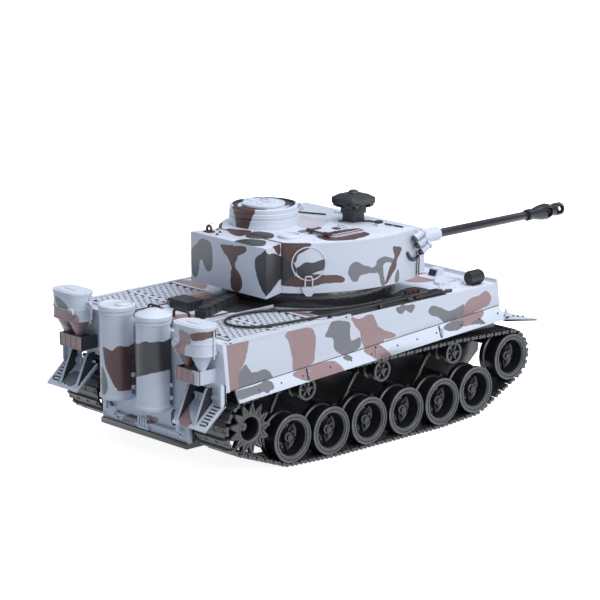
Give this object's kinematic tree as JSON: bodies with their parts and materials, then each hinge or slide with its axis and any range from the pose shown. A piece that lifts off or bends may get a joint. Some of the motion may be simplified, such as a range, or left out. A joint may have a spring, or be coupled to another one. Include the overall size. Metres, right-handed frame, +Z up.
{
  "type": "radio-controlled tank model",
  "caption": "Radio-controlled heavy tank model with a traversing box-backed turret, elevating long gun, overlapping dished running wheels and lids that open.",
  "frame": {"origin": "on the ground, under the middle of the whole model from rear air filters to muzzle", "axes": "+X forward along the gun, +Y to the tank's left, +Z up"},
  "size_m": [0.3267, 0.132, 0.1223],
  "materials": {
    "white_plastic": "satin, cool white with grey, mauve and brown camouflage",
    "black_plastic": "semi-gloss black moulding",
    "track_plastic": "dark grey, slightly worn",
    "wheel_plastic": "dark grey, satin",
    "ring_metal": "dark gunmetal",
    "dark_metal": "dark grey",
    "barrel_metal": "dark grey",
    "steel": "plain",
    "cable": "black braid",
    "cell_sleeve": "blue shrink sleeve",
    "board": "green laminate"
  },
  "bodies": {
    "hull": {"lower_hull": "black_plastic", "upper_hull": "white_plastic", "rear_plate": "white_plastic", "side_skirts": "white_plastic", "front_fenders": "white_plastic", "mudflaps": "white_plastic", "exhaust_tubes": "white_plastic", "air_filters": "white_plastic", "engine_hatch": "white_plastic", "deck_grilles": "white_plastic", "tow_cable": "cable", "deck_tools": "dark_metal", "headlights": "dark_metal", "hull_hatches": "white_plastic", "battery_cover": "black_plastic", "battery_pack": "cell_sleeve", "circuit_board": "board", "drive_gearbox": "black_plastic", "motors": "steel", "screws": "steel", "track_right": "track_plastic", "track_left": "track_plastic", "suspension_arms": "black_plastic"},
    "turret": {"turret_shell": "white_plastic", "turret_roof": "white_plastic", "stowage_bin": "white_plastic", "turret_ring": "ring_metal", "cupola": "white_plastic", "escape_hatch": "white_plastic", "smoke_dischargers": "white_plastic", "turret_fittings": "white_plastic"},
    "gun": {"mantlet": "white_plastic", "gun_barrel": "barrel_metal", "muzzle_brake": "barrel_metal"},
    "cupola_lid": {"cupola_hatch": "white_plastic"},
    "loader_lid": {"loader_hatch": "white_plastic"},
    "sensor_head": {"sensor_pod": "dark_metal"},
    "switch_knob": {"power_switch": "black_plastic"},
    "drive_sprocket_right_body": {"drive_sprocket_right": "wheel_plastic"},
    "road_wheel_1_right_body": {"road_wheel_1_right": "wheel_plastic"},
    "road_wheel_2_right_body": {"road_wheel_2_right": "wheel_plastic"},
    "road_wheel_3_right_body": {"road_wheel_3_right": "wheel_plastic"},
    "road_wheel_4_right_body": {"road_wheel_4_right": "wheel_plastic"},
    "road_wheel_5_right_body": {"road_wheel_5_right": "wheel_plastic"},
    "road_wheel_6_right_body": {"road_wheel_6_right": "wheel_plastic"},
    "idler_wheel_right_body": {"idler_wheel_right": "wheel_plastic"},
    "return_roller_1_right_body": {"return_roller_1_right": "wheel_plastic"},
    "return_roller_2_right_body": {"return_roller_2_right": "wheel_plastic"},
    "return_roller_3_right_body": {"return_roller_3_right": "wheel_plastic"},
    "drive_sprocket_left_body": {"drive_sprocket_left": "wheel_plastic"},
    "road_wheel_1_left_body": {"road_wheel_1_left": "wheel_plastic"},
    "road_wheel_2_left_body": {"road_wheel_2_left": "wheel_plastic"},
    "road_wheel_3_left_body": {"road_wheel_3_left": "wheel_plastic"},
    "road_wheel_4_left_body": {"road_wheel_4_left": "wheel_plastic"},
    "road_wheel_5_left_body": {"road_wheel_5_left": "wheel_plastic"},
    "road_wheel_6_left_body": {"road_wheel_6_left": "wheel_plastic"},
    "idler_wheel_left_body": {"idler_wheel_left": "wheel_plastic"},
    "return_roller_1_left_body": {"return_roller_1_left": "wheel_plastic"},
    "return_roller_2_left_body": {"return_roller_2_left": "wheel_plastic"},
    "return_roller_3_left_body": {"return_roller_3_left": "wheel_plastic"}
  },
  "joints": [
    {"name": "turret_traverse", "type": "hinge", "parent": "hull", "child": "turret", "pos_m": [-0.035, 0, 0.0755], "axis": [0, 0, 1], "range_deg": [-150, 150]},
    {"name": "gun_elevation", "type": "hinge", "parent": "turret", "child": "gun", "pos_m": [0.0035, 0, 0.0864], "axis": [0, -1, 0], "range_deg": [-2, 18]},
    {"name": "cupola_lid_hinge", "type": "hinge", "parent": "turret", "child": "cupola_lid", "pos_m": [-0.0489, 0.0323, 0.1163], "axis": [-1, 0, 0], "range_deg": [0, 100]},
    {"name": "loader_lid_hinge", "type": "hinge", "parent": "turret", "child": "loader_lid", "pos_m": [-0.0498, -0.0235, 0.10735], "axis": [0, -1, 0], "range_deg": [0, 100]},
    {"name": "sensor_head_turn", "type": "hinge", "parent": "turret", "child": "sensor_head", "pos_m": [-0.0107, -0.0089, 0.112], "axis": [0, 0, 1], "range_deg": [-175, 175]},
    {"name": "power_switch_slide", "type": "slide", "parent": "hull", "child": "switch_knob", "axis": [1, 0, 0], "range_m": [0, 0.003]},
    {"name": "drive_sprocket_right_spin", "type": "hinge", "parent": "hull", "child": "drive_sprocket_right_body", "pos_m": [-0.1342, -0.05, 0.027], "axis": [0, 1, 0], "continuous": true},
    {"name": "road_wheel_1_right_spin", "type": "hinge", "parent": "hull", "child": "road_wheel_1_right_body", "pos_m": [-0.105, -0.0583, 0.0162], "axis": [0, 1, 0], "continuous": true},
    {"name": "road_wheel_2_right_spin", "type": "hinge", "parent": "hull", "child": "road_wheel_2_right_body", "pos_m": [-0.0782, -0.0583, 0.015], "axis": [0, 1, 0], "continuous": true},
    {"name": "road_wheel_3_right_spin", "type": "hinge", "parent": "hull", "child": "road_wheel_3_right_body", "pos_m": [-0.0515, -0.0583, 0.015], "axis": [0, 1, 0], "continuous": true},
    {"name": "road_wheel_4_right_spin", "type": "hinge", "parent": "hull", "child": "road_wheel_4_right_body", "pos_m": [-0.0247, -0.0583, 0.015], "axis": [0, 1, 0], "continuous": true},
    {"name": "road_wheel_5_right_spin", "type": "hinge", "parent": "hull", "child": "road_wheel_5_right_body", "pos_m": [0.002, -0.0583, 0.015], "axis": [0, 1, 0], "continuous": true},
    {"name": "road_wheel_6_right_spin", "type": "hinge", "parent": "hull", "child": "road_wheel_6_right_body", "pos_m": [0.02745, -0.0583, 0.0167], "axis": [0, 1, 0], "continuous": true},
    {"name": "idler_wheel_right_spin", "type": "hinge", "parent": "hull", "child": "idler_wheel_right_body", "pos_m": [0.0544, -0.0583, 0.03], "axis": [0, 1, 0], "continuous": true},
    {"name": "return_roller_1_right_spin", "type": "hinge", "parent": "hull", "child": "return_roller_1_right_body", "pos_m": [-0.0914, -0.055, 0.0384], "axis": [0, 1, 0], "continuous": true},
    {"name": "return_roller_2_right_spin", "type": "hinge", "parent": "hull", "child": "return_roller_2_right_body", "pos_m": [-0.0385, -0.055, 0.0384], "axis": [0, 1, 0], "continuous": true},
    {"name": "return_roller_3_right_spin", "type": "hinge", "parent": "hull", "child": "return_roller_3_right_body", "pos_m": [0.0144, -0.055, 0.0384], "axis": [0, 1, 0], "continuous": true},
    {"name": "drive_sprocket_left_spin", "type": "hinge", "parent": "hull", "child": "drive_sprocket_left_body", "pos_m": [-0.1342, 0.05, 0.027], "axis": [0, 1, 0], "continuous": true},
    {"name": "road_wheel_1_left_spin", "type": "hinge", "parent": "hull", "child": "road_wheel_1_left_body", "pos_m": [-0.105, 0.0583, 0.0162], "axis": [0, 1, 0], "continuous": true},
    {"name": "road_wheel_2_left_spin", "type": "hinge", "parent": "hull", "child": "road_wheel_2_left_body", "pos_m": [-0.0782, 0.0583, 0.015], "axis": [0, 1, 0], "continuous": true},
    {"name": "road_wheel_3_left_spin", "type": "hinge", "parent": "hull", "child": "road_wheel_3_left_body", "pos_m": [-0.0515, 0.0583, 0.015], "axis": [0, 1, 0], "continuous": true},
    {"name": "road_wheel_4_left_spin", "type": "hinge", "parent": "hull", "child": "road_wheel_4_left_body", "pos_m": [-0.0247, 0.0583, 0.015], "axis": [0, 1, 0], "continuous": true},
    {"name": "road_wheel_5_left_spin", "type": "hinge", "parent": "hull", "child": "road_wheel_5_left_body", "pos_m": [0.002, 0.0583, 0.015], "axis": [0, 1, 0], "continuous": true},
    {"name": "road_wheel_6_left_spin", "type": "hinge", "parent": "hull", "child": "road_wheel_6_left_body", "pos_m": [0.02745, 0.0583, 0.0167], "axis": [0, 1, 0], "continuous": true},
    {"name": "idler_wheel_left_spin", "type": "hinge", "parent": "hull", "child": "idler_wheel_left_body", "pos_m": [0.0544, 0.0583, 0.03], "axis": [0, 1, 0], "continuous": true},
    {"name": "return_roller_1_left_spin", "type": "hinge", "parent": "hull", "child": "return_roller_1_left_body", "pos_m": [-0.0914, 0.055, 0.0384], "axis": [0, 1, 0], "continuous": true},
    {"name": "return_roller_2_left_spin", "type": "hinge", "parent": "hull", "child": "return_roller_2_left_body", "pos_m": [-0.0385, 0.055, 0.0384], "axis": [0, 1, 0], "continuous": true},
    {"name": "return_roller_3_left_spin", "type": "hinge", "parent": "hull", "child": "return_roller_3_left_body", "pos_m": [0.0144, 0.055, 0.0384], "axis": [0, 1, 0], "continuous": true}
  ],
  "couplings": [
    {"joint": "road_wheel_1_right_spin", "follows": "drive_sprocket_right_spin", "ratio": 1.0126},
    {"joint": "road_wheel_2_right_spin", "follows": "drive_sprocket_right_spin", "ratio": 1.0126},
    {"joint": "road_wheel_3_right_spin", "follows": "drive_sprocket_right_spin", "ratio": 1.0126},
    {"joint": "road_wheel_4_right_spin", "follows": "drive_sprocket_right_spin", "ratio": 1.0126},
    {"joint": "road_wheel_5_right_spin", "follows": "drive_sprocket_right_spin", "ratio": 1.0126},
    {"joint": "road_wheel_6_right_spin", "follows": "drive_sprocket_right_spin", "ratio": 1.0126},
    {"joint": "idler_wheel_right_spin", "follows": "drive_sprocket_right_spin", "ratio": 1.0126},
    {"joint": "return_roller_1_right_spin", "follows": "drive_sprocket_right_spin", "ratio": 2.1252},
    {"joint": "return_roller_2_right_spin", "follows": "drive_sprocket_right_spin", "ratio": 2.1252},
    {"joint": "return_roller_3_right_spin", "follows": "drive_sprocket_right_spin", "ratio": 2.1252},
    {"joint": "road_wheel_1_left_spin", "follows": "drive_sprocket_left_spin", "ratio": 1.0126},
    {"joint": "road_wheel_2_left_spin", "follows": "drive_sprocket_left_spin", "ratio": 1.0126},
    {"joint": "road_wheel_3_left_spin", "follows": "drive_sprocket_left_spin", "ratio": 1.0126},
    {"joint": "road_wheel_4_left_spin", "follows": "drive_sprocket_left_spin", "ratio": 1.0126},
    {"joint": "road_wheel_5_left_spin", "follows": "drive_sprocket_left_spin", "ratio": 1.0126},
    {"joint": "road_wheel_6_left_spin", "follows": "drive_sprocket_left_spin", "ratio": 1.0126},
    {"joint": "idler_wheel_left_spin", "follows": "drive_sprocket_left_spin", "ratio": 1.0126},
    {"joint": "return_roller_1_left_spin", "follows": "drive_sprocket_left_spin", "ratio": 2.1252},
    {"joint": "return_roller_2_left_spin", "follows": "drive_sprocket_left_spin", "ratio": 2.1252},
    {"joint": "return_roller_3_left_spin", "follows": "drive_sprocket_left_spin", "ratio": 2.1252}
  ]
}
